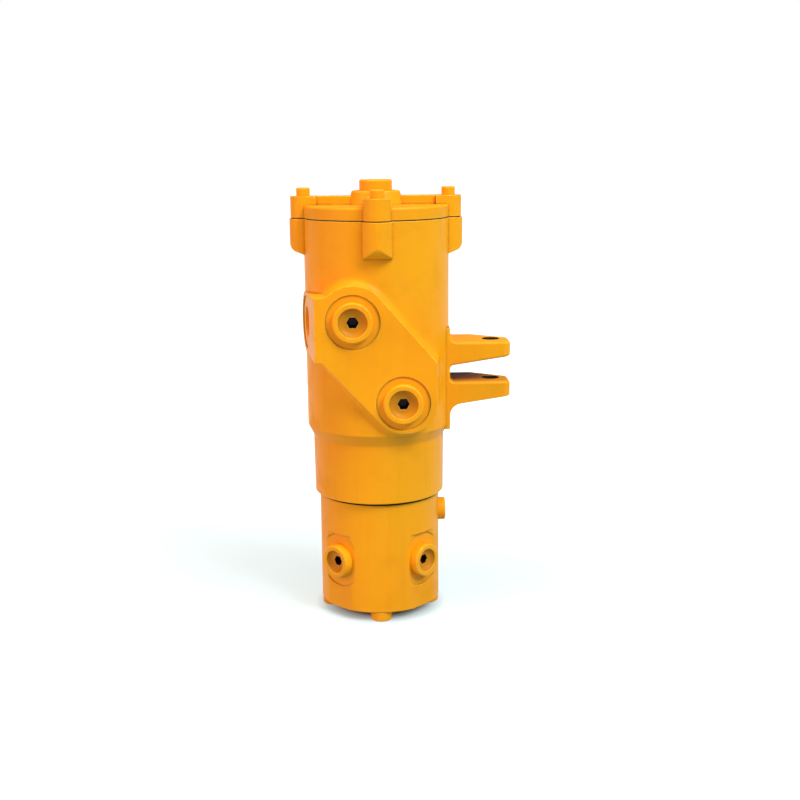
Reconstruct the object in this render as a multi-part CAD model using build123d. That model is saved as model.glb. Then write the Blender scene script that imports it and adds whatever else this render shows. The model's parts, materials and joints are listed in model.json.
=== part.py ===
from build123d import *
import os
from math import cos, radians, sin, sqrt, tan

# Hydraulic rotary union of the kind that stands at the slewing centre of an excavator.
# The stem (foot drum and shaft) stands still, and the cast housing turns round its shaft.
# Millimetres. Origin: centre of the stem's underside. +Z runs up the turning axis,
# -Y is the side with the diagonal port pad, and +X is the side with the stopper clevis.

# ---------------------------------------------------------------- driving sizes
# Shaft and foot drum of the stem
SHAFT_DIA = 90.0
RUNNING_CLEARANCE = 0.05      # radial, shaft in bore and in guide rings
FOOT_DIA = 119.4
FOOT_HEIGHT = 110.6
FLAT_DISTANCE = 57.4          # milled flats, from the axis
FLAT_HEIGHT = 77.0
FOOT_PORT_HEIGHT = 49.4
FOOT_PORT_ANGLES = {"front_left": 225, "front_right": 315, "back_left": 135, "back_right": 45}
DRAIN_PORT_HEIGHT = 88.7
DRAIN_BORE_DIA = 8.0
CENTRE_BORE_DIA = 10.0        # leakage bore down the middle, open under the cover

# Housing
BODY_DIA = 140.4
STEP_DEPTH = 5.4              # the rim is this much smaller than the body, radially
RIM_DRAFT = 0.6               # radial loss of the rim towards its lower edge
HOUSING_GAP = 2.0             # open gap between foot drum and housing
STEP_HEIGHT = 176.0           # middle of the step from rim to body
JOINT_HEIGHT = 383.8          # middle of the gasket
GASKET_THICKNESS = 1.0
GASKET_INSET = 0.6            # how far the gasket's edge lies behind the castings
GASKET_BORE_MARGIN = 1.0      # radial, gasket's hole outside the chamber
GASKET_EAR_REACH = 8.0        # length of the neck between the gasket and its ear

# Ring channels and seals, counted from the lowest channel
CHANNEL_BASE = 214.2
CHANNEL_PITCH = 38.65
CHANNEL_COUNT = 4
CHANNEL_WIDTH = 12.0
CHANNEL_DEPTH = 5.0
PASSAGE_DIA = 14.0
PASSAGE_RADIUS = 28.0         # the long passages' distance from the axis
OUTLET_MARGIN = 2.0           # the drilling into a channel is this much narrower than the channel
SEAL_WIDTH = 5.0
SEAL_DEPTH = 5.5
ENERGISER_SHARE = 0.5         # share of the seal groove's depth that the energiser fills
SEAL_GAP = 0.3                # seal lip to shaft
GROOVE_CLEARANCE = 0.05       # ring to groove wall, each side

# Guide rings and dust seal
GUIDE_WIDTH = 12.0
GUIDE_DEPTH = 2.5
GUIDE_INSET = 2.0             # solid land between the upper guide ring and the shoulder
LOWER_GUIDE_HEIGHT = 150.0
DUST_SEAL_HEIGHT = 126.0

# Thrust parts
THRUST_CLEARANCE = 0.5        # radial, thrust ring and washer in their chambers
THRUST_RING_THICKNESS = 4.4
THRUST_FLOAT = 0.05
CHAMBER_DIA = 107.0           # counterbores at both ends of the bore
SHOULDER_DEPTH = 15.3         # shoulder below the housing's top face
WASHER_THICKNESS = 2.0
PLATE_THICKNESS = 12.0
PLATE_FLOAT = 0.2
PLATE_CLEARANCE = 1.0         # radial, retaining plate in its chamber
PLATE_SCREW_CIRCLE = 60.0
PLATE_SCREW_LENGTH = 20.0     # under the head, two and a half threads

# Cover
COVER_THICKNESS = 11.7        # underside to the sunk quarters
RIB_HEIGHT = 20.1             # underside to the top of the ribs and lugs
HUB_HEIGHT = 24.9             # underside to the top of the hub
HUB_DIA = 47.0
HUB_FLARE = 3.0               # radial, hub at its foot
RIB_WIDTH = 19.0
COVER_ROUNDING = 2.5
BOLT_INSET = 0.2              # the bolts' axes lie this far inside the body's surface
LUG_WIDTH = 25.0
BODY_LUG_MARGIN = 1.2         # the housing's lugs stand this far outside the cover's
LUG_DROP = 34.0               # height of a housing lug down to where it meets the body
LUG_SLOPE = 5.0               # rise of its lower end from the body to its tip
LUG_ROUNDING = 9.0
LUG_ANGLES = (0, 90, 180, 270)

# Ports: collar and socket of each plug size
PORT_SIZES = {
    "large": {"shank": 30.2, "depth": 16.0, "collar": 38.0, "height": 7.0, "dish": 28.0,
              "dish_floor": 15.0, "dish_depth": 5.0, "hex": 10.0, "spot": 51.6, "spot_depth": 1.2},
    "medium": {"shank": 24.2, "depth": 14.0, "collar": 32.5, "height": 8.6, "dish": 23.0,
               "dish_floor": 12.0, "dish_depth": 5.0, "hex": 9.0, "spot": 54.0, "spot_depth": 1.0},
    "small": {"shank": 15.0, "depth": 12.0, "collar": 22.5, "height": 8.0, "dish": 15.0,
              "dish_floor": 10.0, "dish_depth": 3.0, "hex": 8.0, "spot": 24.0, "spot_depth": 0.0},
    "centre": {"shank": 26.2, "depth": 14.0, "collar": 31.6, "height": 10.4, "dish": 23.0,
               "dish_floor": 14.0, "dish_depth": 4.0, "hex": 12.0, "spot": 34.0, "spot_depth": 0.0},
}
DISH_BELLY = 0.65             # how hollow the dish's wall is; 0.5 would be a straight cone
HEX_DEPTH = 8.0               # wrench socket below the dish's floor
SUNK_DEPTH = 3.0              # a headless plug's face lies this far below the spot face
SHANK_CLEARANCE = 0.1
PORT_BORE_DIA = 16.0
SEAL_RING_WIDTH = 2.6         # seal ring in the mouth of each port
SEAL_RING_HEIGHT = 2.4

# Housing ports: direction of the port's axis, distance of its face, sideways offset, height
PAD_RISE = 4.8                # front pad's face outside the body
LEFT_RISE = 0.2
REAR_RISE = 3.8
UPPER_PORT_OFFSET = -24.0
LOWER_PORT_OFFSET = 22.5
UPPER_BOSS_RADIUS = 34.0
LOWER_BOSS_RADIUS = 28.8
REAR_BOSS_RADIUS = 32.0
LEFT_BOSS_RADIUS = 30.0
LEFT_PORT_HEIGHT = 284.0
LEFT_PORT_ANGLE = 189.0
PAD_DEPTH = 52.0              # how far the pads reach into the body
PAD_DRAFT = 6.0               # degrees
PAD_BLEND = 8.0               # cast fillet between pad and body
PAD_CORNER = 5.0              # rounded corners of the front pad's outline
PAD_LEFT = 56.0               # front pad's left corner from the axis
PAD_RIGHT = 55.0
PAD_LEFT_CORNER_DROP = 33.0   # corner's centre below the upper port
PAD_RIGHT_CORNER_DROP = 41.0

# Stopper clevis
EAR_TOP = 263.3
EAR_PITCH = 39.2
EAR_TIP_THICKNESS = 14.0
EAR_ROOT_THICKNESS = 23.0
EAR_REACH = 59.3              # ear tips outside the body
EAR_FRONT = 24.0
EAR_BACK = 31.0
EAR_HOLE_REACH = 41.8         # stopper pin's axis outside the body
EAR_HOLE_DIA = 17.6
EAR_EDGE_RADIUS = 2.2
EAR_CORNER = 7.0
EAR_TOP_BLEND = 7.0           # fillets at the ears' roots
EAR_SLOT_BLEND = 4.0
EAR_LOWER_BLEND = 12.0
ROOT_WALL = 6.0               # the ears' roots end this far outside the seal grooves

# Fasteners: thread, head diameter, head height, key size, key depth
COVER_SCREW = {"thread": 8.0, "head": 13.0, "height": 8.0, "hex": 6.0, "socket": 4.5}
PLATE_SCREW = {"thread": 8.0, "head": 13.0, "height": 8.0, "hex": 6.0, "socket": 4.5}
BASE_SCREW = {"thread": 14.0, "head": 21.5, "height": 9.3, "hex": 10.0, "socket": 5.0}
BASE_SCREW_CIRCLE = 97.0
BASE_SCREW_LENGTH = 26.0
COVER_SCREW_GRIP = 18.0       # length of screw in the housing
THREAD_CLEARANCE = 0.05
THROUGH_CLEARANCE = 0.5
ROUNDING = 1.0                # broken edge on turned pieces
CUT_REACH = 20.0              # how far a cutter runs out past the face it starts from
OVERCUT = 1.0                 # how far a cutter that ends at a face runs past it
TAP_DEPTH_SPARE = 2.0         # tapped hole below its screw's tip
COVER_TAP_SPARE = 3.0         # the same below the cover screws
RUBBER_ROUNDING_SHARE = 0.3   # corner of a rubber ring, as a share of its section
HEAD_CHAMFER_SHARE = 0.1      # broken edge of a screw head, as a share of its height
SAME_PLACE = 0.01             # two points nearer than this are one corner
ON_BODY = 0.3                 # an edge nearer than this to the body's cylinder lies on it

# ---------------------------------------------------------------- worked-out sizes
bore_radius = SHAFT_DIA / 2
shaft_radius = bore_radius - RUNNING_CLEARANCE
foot_radius = FOOT_DIA / 2
body_radius = BODY_DIA / 2
rim_radius = body_radius - STEP_DEPTH
housing_bottom = FOOT_HEIGHT + HOUSING_GAP
housing_top = JOINT_HEIGHT - GASKET_THICKNESS / 2
cover_bottom = JOINT_HEIGHT + GASKET_THICKNESS / 2
cover_floor = cover_bottom + COVER_THICKNESS
rib_top = cover_bottom + RIB_HEIGHT
hub_top = cover_bottom + HUB_HEIGHT
bolt_radius = body_radius - BOLT_INSET
pad_distance = body_radius + PAD_RISE
left_face_distance = body_radius + LEFT_RISE
rear_pad_distance = body_radius + REAR_RISE
ear_tip = body_radius + EAR_REACH
ear_hole_x = body_radius + EAR_HOLE_REACH
thrust_ceiling = FOOT_HEIGHT + THRUST_RING_THICKNESS + THRUST_FLOAT
shoulder_height = housing_top - SHOULDER_DEPTH
stem_top = shoulder_height + WASHER_THICKNESS + PLATE_FLOAT
plate_top = stem_top + PLATE_THICKNESS
upper_guide_height = shoulder_height - GUIDE_INSET - GUIDE_WIDTH / 2
channel_heights = [CHANNEL_BASE + CHANNEL_PITCH * index for index in range(CHANNEL_COUNT)]
seal_heights = [CHANNEL_BASE + CHANNEL_PITCH * (index - 0.5) for index in range(CHANNEL_COUNT + 1)]
seal_groove_radius = bore_radius + SEAL_DEPTH
ring_split_radius = seal_groove_radius - SEAL_DEPTH * ENERGISER_SHARE

HOUSING_PORTS = {
    "front_upper": {"angle": 270, "distance": pad_distance, "offset": UPPER_PORT_OFFSET,
                    "height": channel_heights[2]},
    "front_lower": {"angle": 270, "distance": pad_distance, "offset": LOWER_PORT_OFFSET,
                    "height": channel_heights[0]},
    "left": {"angle": LEFT_PORT_ANGLE, "distance": left_face_distance, "offset": 0,
             "height": LEFT_PORT_HEIGHT},
    "rear_upper": {"angle": 90, "distance": rear_pad_distance, "offset": 0,
                   "height": channel_heights[3]},
    "rear_lower": {"angle": 90, "distance": rear_pad_distance, "offset": 0,
                   "height": channel_heights[1]},
}

UPRIGHT = Plane(origin=(0, 0, 0), x_dir=(1, 0, 0), z_dir=(0, -1, 0))  # XZ, seen from -Y

HEADLESS_PORTS = ("left",)


# ---------------------------------------------------------------- shared shapes
def face_plane(angle, distance, offset=0.0, height=0.0):
    """Plane square to a horizontal direction, with its own Y axis pointing up."""
    out = Vector(cos(radians(angle)), sin(radians(angle)), 0)
    side = Vector(-sin(radians(angle)), cos(radians(angle)), 0)
    centre = out * distance + side * offset + Vector(0, 0, height)
    return Plane(origin=centre, x_dir=side, z_dir=out)


def turned(points):
    """Solid of revolution about Z from (radius, height) points."""
    section = make_face(Polyline([(radius, 0, height) for radius, height in points], close=True))
    return revolve(section, Axis.Z)


def ring(inner, outer, bottom, top):
    """Plain ring about Z."""
    return turned([(inner, bottom), (outer, bottom), (outer, top), (inner, top)])


def soft_ring(inner, outer, bottom, top):
    """Ring about Z with rounded section corners, as rubber takes in its groove."""
    width = outer - inner
    height = top - bottom
    section = Rectangle(width, height)
    section = fillet(section.vertices(), min(width, height) * RUBBER_ROUNDING_SHARE)
    place = Plane(origin=((inner + outer) / 2, 0, (bottom + top) / 2), x_dir=(1, 0, 0), z_dir=(0, -1, 0))
    return revolve(place * section, Axis.Z)


def hexagon_prism(across_flats, depth):
    """Hexagon socket cutter standing on its local XY plane and going down."""
    return extrude(RegularPolygon(across_flats / 2, 6, major_radius=False), -depth)


def polar(radius, angle):
    """Location on a circle about Z, turned with the circle."""
    return Rot(0, 0, angle) * Pos(radius, 0, 0)


def cap_screw(size, length):
    """Socket cap screw, head up, with the underside of its head at local Z = 0."""
    head_radius = size["head"] / 2
    head = Pos(0, 0, size["height"] / 2) * Cylinder(head_radius, size["height"])
    head = chamfer(head.faces().sort_by(Axis.Z)[-1].edges(), size["height"] * HEAD_CHAMFER_SHARE)
    shank = Pos(0, 0, -length / 2) * Cylinder(size["thread"] / 2, length)
    socket = Pos(0, 0, size["height"]) * hexagon_prism(size["hex"], size["socket"])
    return head + shank - socket


def port_plug(size):
    """Plug with a dished collar, its collar seated at local Z = 0 and facing +Z."""
    collar = size["collar"] / 2
    shank = size["shank"] / 2 - SHANK_CLEARANCE
    top = size["height"]
    floor = top - size["dish_depth"]
    rim = size["dish"] / 2
    with_dish = [(0, -size["depth"]), (shank - ROUNDING, -size["depth"]), (shank, ROUNDING - size["depth"]),
                 (shank, 0), (collar, 0), (collar, top - ROUNDING), (collar - ROUNDING, top), (rim, top)]
    outline = Polyline([(radius, 0, height) for radius, height in with_dish])
    foot = size["dish_floor"] / 2
    sag = (foot + (rim - foot) * DISH_BELLY, 0, floor + size["dish_depth"] * (1 - DISH_BELLY))
    dish = ThreePointArc((rim, 0, top), sag, (foot, 0, floor))
    inner = Polyline([(foot, 0, floor), (0, 0, floor), (0, 0, -size["depth"])])
    plug = revolve(make_face([*outline.edges(), dish, *inner.edges()]), Axis.Z)
    return plug - Pos(0, 0, floor) * hexagon_prism(size["hex"], HEX_DEPTH)


def sunk_plug(size):
    """Headless plug that sits below the face of its port, its seat plane at local Z = 0."""
    top = -SUNK_DEPTH
    length = size["depth"] + top
    plug = Pos(0, 0, top - length / 2) * Cylinder(size["shank"] / 2 - SHANK_CLEARANCE, length)
    plug = chamfer(plug.faces().sort_by(Axis.Z)[-1].edges(), ROUNDING)
    return plug - Pos(0, 0, top) * hexagon_prism(size["hex"], HEX_DEPTH)


def port_cut(size, sealed=True):
    """What a port takes out of its face: spot face, thread and, under a collar, the seal's seat."""
    shank = size["shank"] / 2
    seat = size["spot_depth"]
    cutter = Pos(0, 0, CUT_REACH / 2 - seat) * Cylinder(size["spot"] / 2, CUT_REACH)
    cutter += Pos(0, 0, -seat - size["depth"] / 2 - 1) * Cylinder(shank, size["depth"] + 2)
    if sealed:
        seal_seat = Cylinder(shank + SEAL_RING_WIDTH, SEAL_RING_HEIGHT)
        cutter += Pos(0, 0, -seat - SEAL_RING_HEIGHT / 2) * seal_seat
    return cutter


def port_seal(size):
    """Seal ring in a port's mouth, under the plug's collar."""
    shank = size["shank"] / 2
    return soft_ring(shank, shank + SEAL_RING_WIDTH, -SEAL_RING_HEIGHT, 0)


# ---------------------------------------------------------------- stem
def make_stem():
    """Foot drum and shaft in one forging, with its channels, passages, flats and ports."""
    blank = turned([(0, 0), (foot_radius - ROUNDING, 0), (foot_radius, ROUNDING),
                    (foot_radius, FOOT_HEIGHT - ROUNDING), (foot_radius - ROUNDING, FOOT_HEIGHT),
                    (shaft_radius, FOOT_HEIGHT), (shaft_radius, stem_top - ROUNDING),
                    (shaft_radius - ROUNDING, stem_top), (0, stem_top)])
    for height in channel_heights:
        blank -= ring(shaft_radius - CHANNEL_DEPTH, bore_radius + OVERCUT,
                      height - CHANNEL_WIDTH / 2, height + CHANNEL_WIDTH / 2)
    size = PORT_SIZES["medium"]
    for index, angle in enumerate(FOOT_PORT_ANGLES.values()):
        flat = Box(foot_radius, FOOT_DIA, FLAT_HEIGHT + OVERCUT, align=(Align.MIN, Align.CENTER, Align.MIN))
        blank -= Rot(0, 0, angle) * Pos(FLAT_DISTANCE, 0, -OVERCUT) * flat
        blank -= face_plane(angle, FLAT_DISTANCE, 0, FOOT_PORT_HEIGHT) * port_cut(size)
        blank -= make_passage(angle, channel_heights[index])
    drain = PORT_SIZES["small"]
    blank -= face_plane(0, drain_seat(), 0, DRAIN_PORT_HEIGHT) * port_cut(drain)
    blank -= radial_bore(0, DRAIN_PORT_HEIGHT, 0, drain_seat() - drain["depth"], DRAIN_BORE_DIA)
    drain_depth = stem_top - DRAIN_PORT_HEIGHT
    centre_bore = Cylinder(CENTRE_BORE_DIA / 2, drain_depth + OVERCUT)
    blank -= Pos(0, 0, DRAIN_PORT_HEIGHT + drain_depth / 2) * centre_bore
    base_hole = tapped_hole(BASE_SCREW["thread"], BASE_SCREW_LENGTH + TAP_DEPTH_SPARE)
    for angle in LUG_ANGLES:
        blank -= polar(BASE_SCREW_CIRCLE / 2, angle) * base_hole
        screw_tip = plate_screw_seat() - PLATE_SCREW_LENGTH
        hole_bottom = screw_tip - TAP_DEPTH_SPARE
        top_hole = tapped_hole(PLATE_SCREW["thread"], stem_top + OVERCUT - hole_bottom)
        blank -= polar(PLATE_SCREW_CIRCLE / 2, angle) * Pos(0, 0, hole_bottom) * top_hole
    return blank


def tapped_hole(thread, depth):
    """Cutter for a tapped hole that starts at Z = 0 and goes up."""
    return Pos(0, 0, depth / 2) * Cylinder(thread / 2 + THREAD_CLEARANCE, depth)


def radial_bore(angle, height, start, end, diameter):
    """Cutter for a horizontal drilling from one radius to another."""
    length = end - start
    return face_plane(angle, (start + end) / 2, 0, height) * Cylinder(diameter / 2, length)


def make_passage(angle, channel_height):
    """Cutters for one circuit in the stem: foot port, long passage, ring channel."""
    size = PORT_SIZES["medium"]
    top = channel_height + PASSAGE_DIA / 2
    bottom = FOOT_PORT_HEIGHT - PASSAGE_DIA / 2
    riser = Pos(0, 0, (top + bottom) / 2) * Cylinder(PASSAGE_DIA / 2, top - bottom)
    riser = polar(PASSAGE_RADIUS, angle) * riser
    inlet = radial_bore(angle, FOOT_PORT_HEIGHT, PASSAGE_RADIUS, FLAT_DISTANCE - size["depth"], PASSAGE_DIA)
    outlet = radial_bore(angle, channel_height, PASSAGE_RADIUS, shaft_radius,
                         CHANNEL_WIDTH - OUTLET_MARGIN)
    return riser + inlet + outlet


def drain_seat():
    """Distance of the drain port's spot face, where its circle just meets the drum."""
    half_chord = PORT_SIZES["small"]["spot"] / 2
    return sqrt(foot_radius**2 - half_chord**2)


def plate_screw_seat():
    """Height of the counterbores' floors in the retaining plate; the heads lie just below its top."""
    return plate_top - PLATE_SCREW["height"] - THROUGH_CLEARANCE


def make_thrust_ring():
    """Bronze ring that carries the housing on the foot drum."""
    top = FOOT_HEIGHT + THRUST_RING_THICKNESS
    return ring(shaft_radius + SEAL_GAP, CHAMBER_DIA / 2 - THRUST_CLEARANCE, FOOT_HEIGHT, top)


def make_retaining_plate():
    """Round plate on the shaft's top that keeps the housing from lifting off."""
    inner = CENTRE_BORE_DIA / 2
    outer = CHAMBER_DIA / 2 - PLATE_CLEARANCE
    blank = turned([(inner, stem_top), (outer, stem_top), (outer, plate_top - ROUNDING),
                    (outer - ROUNDING, plate_top), (inner, plate_top)])
    through = Cylinder(PLATE_SCREW["thread"] / 2 + THROUGH_CLEARANCE, 3 * PLATE_THICKNESS)
    counterbore = Cylinder(PLATE_SCREW["head"] / 2 + THROUGH_CLEARANCE, CUT_REACH)
    hole = Pos(0, 0, stem_top) * through + Pos(0, 0, plate_screw_seat() + CUT_REACH / 2) * counterbore
    for angle in LUG_ANGLES:
        blank -= polar(PLATE_SCREW_CIRCLE / 2, angle) * hole
    return blank


def make_retaining_screws():
    """Four cap screws sunk in the retaining plate."""
    screw = Pos(0, 0, plate_screw_seat()) * cap_screw(PLATE_SCREW, PLATE_SCREW_LENGTH)
    return [polar(PLATE_SCREW_CIRCLE / 2, angle) * screw for angle in LUG_ANGLES]


def make_base_screws():
    """Four low-head screws in the tapped mounting holes of the foot, heads down."""
    screw = Rot(180, 0, 0) * cap_screw(BASE_SCREW, BASE_SCREW_LENGTH)
    return [polar(BASE_SCREW_CIRCLE / 2, angle) * screw for angle in LUG_ANGLES]


# ---------------------------------------------------------------- housing
def boss_outline(circles):
    """Convex outline round circles given as (x, y, radius)."""
    edges = []
    for x, y, radius in circles:
        edges += (Pos(x, y) * Circle(radius)).edges()
    return make_hull(edges)


def drafted_pad(angle, distance, circles):
    """Cast pad: its outline grows with the draft from its flat face into the body."""
    face = face_plane(angle, distance) * boss_outline(circles)
    return extrude(face, -PAD_DEPTH, taper=-PAD_DRAFT)


def make_front_pad():
    """Diagonal pad that carries the two front ports, with a corner at each side."""
    upper = HOUSING_PORTS["front_upper"]
    lower = HOUSING_PORTS["front_lower"]
    left_corner = upper["height"] - PAD_LEFT_CORNER_DROP
    right_corner = upper["height"] - PAD_RIGHT_CORNER_DROP
    lower_right = PAD_RIGHT - LOWER_BOSS_RADIUS
    return drafted_pad(270, pad_distance, [
        (upper["offset"], upper["height"], UPPER_BOSS_RADIUS),
        (lower["offset"], lower["height"], LOWER_BOSS_RADIUS),
        (lower_right, lower["height"], LOWER_BOSS_RADIUS),
        (PAD_CORNER - PAD_LEFT, left_corner, PAD_CORNER),
        (PAD_RIGHT - PAD_CORNER, right_corner, PAD_CORNER)])


def make_left_boss():
    """Boss of the left port: its flat face runs forward to the front pad's face."""
    port = HOUSING_PORTS["left"]
    reach = pad_distance
    low = port["height"] - LEFT_BOSS_RADIUS + PAD_CORNER
    high = port["height"] + LEFT_BOSS_RADIUS - PAD_CORNER
    block = drafted_pad(port["angle"], port["distance"], [
        (0, port["height"], LEFT_BOSS_RADIUS), (reach, low, PAD_CORNER), (reach, high, PAD_CORNER)])
    ahead = Box(4 * reach, reach, 4 * LEFT_BOSS_RADIUS, align=(Align.CENTER, Align.MAX, Align.CENTER))
    return block - Pos(0, -pad_distance, port["height"]) * ahead


def make_rear_pad():
    """Upright pad that carries the two rear ports."""
    ports = [HOUSING_PORTS["rear_upper"], HOUSING_PORTS["rear_lower"]]
    return drafted_pad(90, rear_pad_distance, [(0, port["height"], REAR_BOSS_RADIUS) for port in ports])


def leaves_body(edge):
    """True where something leaves the body's cylinder; the cylinder's own seam doesn't count."""
    middle = edge @ 0.5
    seam = edge.geom_type == GeomType.LINE and abs(middle.Y) < SAME_PLACE
    return abs(Vector(middle.X, middle.Y).length - body_radius) < ON_BODY and not seam


def blended(cast, piece, radius):
    """Casting with one piece added and the corner between them filled with a cast fillet."""
    joined = cast + piece
    box = piece.bounding_box()
    corner = [edge for edge in joined.edges() if leaves_body(edge)
              and box.min.Z - OVERCUT < (edge @ 0.5).Z < box.max.Z + OVERCUT
              and box.min.X - OVERCUT < (edge @ 0.5).X < box.max.X + OVERCUT
              and box.min.Y - OVERCUT < (edge @ 0.5).Y < box.max.Y + OVERCUT]
    return fillet(corner, radius)


def make_housing_blank():
    """Turned form of the casting: rim, step and body."""
    rim_foot = rim_radius - RIM_DRAFT
    step = body_radius - rim_radius
    outline = Polyline([(0, housing_bottom), (rim_foot - ROUNDING, housing_bottom),
                        (rim_foot, housing_bottom + ROUNDING),
                        (rim_radius, STEP_HEIGHT - step), (body_radius, STEP_HEIGHT + step),
                        (body_radius, housing_top), (0, housing_top)], close=True)
    section = make_face(outline)
    corners = section.vertices().filter_by(lambda v: abs(v.Y - STEP_HEIGHT) < step + SAME_PLACE)
    section = fillet(corners, step)
    return revolve(UPRIGHT * section, Axis.Z)


def make_padded_body():
    """Body cylinder above the step with its blended pads; turning the step cuts them off below."""
    bottom = STEP_HEIGHT + STEP_DEPTH
    height = housing_top - bottom
    stock = Pos(0, 0, bottom + height / 2) * Cylinder(body_radius, height + 4 * PAD_BLEND)
    stock = blended(stock, make_front_pad(), PAD_BLEND)
    stock = blended(stock, make_rear_pad(), PAD_BLEND)
    stock += make_left_boss()
    keep = Pos(0, 0, bottom + height / 2) * Cylinder(2 * body_radius, height)
    return stock & keep


def make_lug(radial_margin, bottom, top, rounded):
    """One bolt lug along +X: round-ended in plan, with a rounded lower end if it hangs free."""
    half = LUG_WIDTH / 2
    outer = half + radial_margin
    plan = Pos(bolt_radius, 0) * Circle(outer)
    plan += Pos(bolt_radius - outer / 2, 0) * Rectangle(outer, 2 * outer)
    lug = Pos(0, 0, bottom) * extrude(plan, top - bottom)
    if not rounded:
        return lug
    tip = bolt_radius + outer
    inside = bolt_radius - outer
    side = make_face(Polyline([(inside, bottom), (body_radius, bottom), (tip, bottom + LUG_SLOPE),
                               (tip, top), (inside, top)], close=True))
    side = fillet(side.vertices().sort_by(Axis.X)[-2:].sort_by(Axis.Y)[:1], LUG_ROUNDING)
    return lug & extrude(UPRIGHT * side, 2 * outer, both=True)


def make_clevis():
    """Two ears along +X: side profile with rounded roots, cut to the ears' plan."""
    lower_top = EAR_TOP - EAR_PITCH
    inside = seal_groove_radius + ROOT_WALL
    beyond = ear_tip + OVERCUT
    top_root = (body_radius, EAR_TOP)
    slot_top = (body_radius, EAR_TOP - EAR_ROOT_THICKNESS)
    slot_bottom = (body_radius, lower_top)
    low_root = (body_radius, lower_top - EAR_ROOT_THICKNESS)
    side = make_face(Polyline([
        (inside, low_root[1] - 2 * EAR_LOWER_BLEND), (body_radius, low_root[1] - 2 * EAR_LOWER_BLEND),
        low_root, (beyond, lower_top - EAR_TIP_THICKNESS), (beyond, lower_top), slot_bottom,
        slot_top, (beyond, EAR_TOP - EAR_TIP_THICKNESS), (beyond, EAR_TOP), top_root,
        (body_radius, EAR_TOP + 2 * EAR_TOP_BLEND), (inside, EAR_TOP + 2 * EAR_TOP_BLEND)], close=True))
    for corners, radius in (([top_root], EAR_TOP_BLEND), ([slot_top, slot_bottom], EAR_SLOT_BLEND),
                            ([low_root], EAR_LOWER_BLEND)):
        places = [Vector(x, y) for x, y in corners]
        side = fillet([v for v in side.vertices()
                       if min((Vector(v) - place).length for place in places) < SAME_PLACE], radius)
    ears = extrude(UPRIGHT * side, EAR_BACK + EAR_FRONT, both=True)
    waist = ear_hole_x - EAR_HOLE_DIA
    plan = make_face(Polyline([(inside, -EAR_FRONT), (ear_tip, -EAR_FRONT), (ear_tip, EAR_CORNER),
                               (waist, EAR_BACK), (inside, EAR_BACK)], close=True))
    tips = plan.vertices().filter_by(lambda v: v.X > inside + OVERCUT)
    plan = fillet(tips, EAR_CORNER)
    ears &= Pos(0, 0, lower_top - 4 * EAR_PITCH) * extrude(plan, 8 * EAR_PITCH)
    rims = [edge for edge in ears.edges() if (edge @ 0.5).X > body_radius + EAR_TOP_BLEND
            and abs((edge @ 0).Z - (edge @ 1).Z) < 0.01
            and min(abs((edge @ 0.5).Z - level) for level in (EAR_TOP, lower_top)) < SAME_PLACE]
    return fillet(rims, EAR_EDGE_RADIUS)


def make_housing():
    """The cast housing: body, lugs, pads and clevis outside; bore, grooves and ports inside."""
    cast = make_padded_body() + make_housing_blank()
    lug = make_lug(BODY_LUG_MARGIN, housing_top - LUG_DROP, housing_top, True)
    for angle in LUG_ANGLES:
        cast += Rot(0, 0, angle) * lug
    cast += make_clevis()
    cast -= Pos(ear_hole_x, 0, EAR_TOP - EAR_PITCH / 2) * Cylinder(EAR_HOLE_DIA / 2, 4 * EAR_PITCH)
    return cast - make_housing_bore() - make_housing_ports()


def make_housing_bore():
    """Everything turned out of the housing's middle, in one cutter."""
    chamber = CHAMBER_DIA / 2
    cutter = ring(0, bore_radius, housing_bottom - OVERCUT, housing_top + OVERCUT)
    cutter += ring(0, chamber, housing_bottom - OVERCUT, thrust_ceiling)
    cutter += ring(0, chamber, shoulder_height, housing_top + OVERCUT)
    for height in seal_heights + [DUST_SEAL_HEIGHT]:
        cutter += ring(0, seal_groove_radius, height - SEAL_WIDTH / 2, height + SEAL_WIDTH / 2)
    for height in (LOWER_GUIDE_HEIGHT, upper_guide_height):
        cutter += ring(0, bore_radius + GUIDE_DEPTH, height - GUIDE_WIDTH / 2, height + GUIDE_WIDTH / 2)
    hole_bottom = housing_top - COVER_SCREW_GRIP - COVER_TAP_SPARE
    hole = tapped_hole(COVER_SCREW["thread"], COVER_SCREW_GRIP + COVER_TAP_SPARE + OVERCUT)
    for angle in LUG_ANGLES:
        cutter += polar(bolt_radius, angle) * Pos(0, 0, hole_bottom) * hole
    return cutter


def make_housing_ports():
    """Spot faces, threads and passages of all housing ports."""
    size = PORT_SIZES["large"]
    cutters = []
    for name, port in HOUSING_PORTS.items():
        face = face_plane(port["angle"], port["distance"], port["offset"], port["height"])
        length = port["distance"] - bore_radius + CUT_REACH
        passage = Pos(0, 0, -length / 2) * Cylinder(PORT_BORE_DIA / 2, length)
        cutters.append(face * (port_cut(size, name not in HEADLESS_PORTS) + passage))
    return cutters


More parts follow.
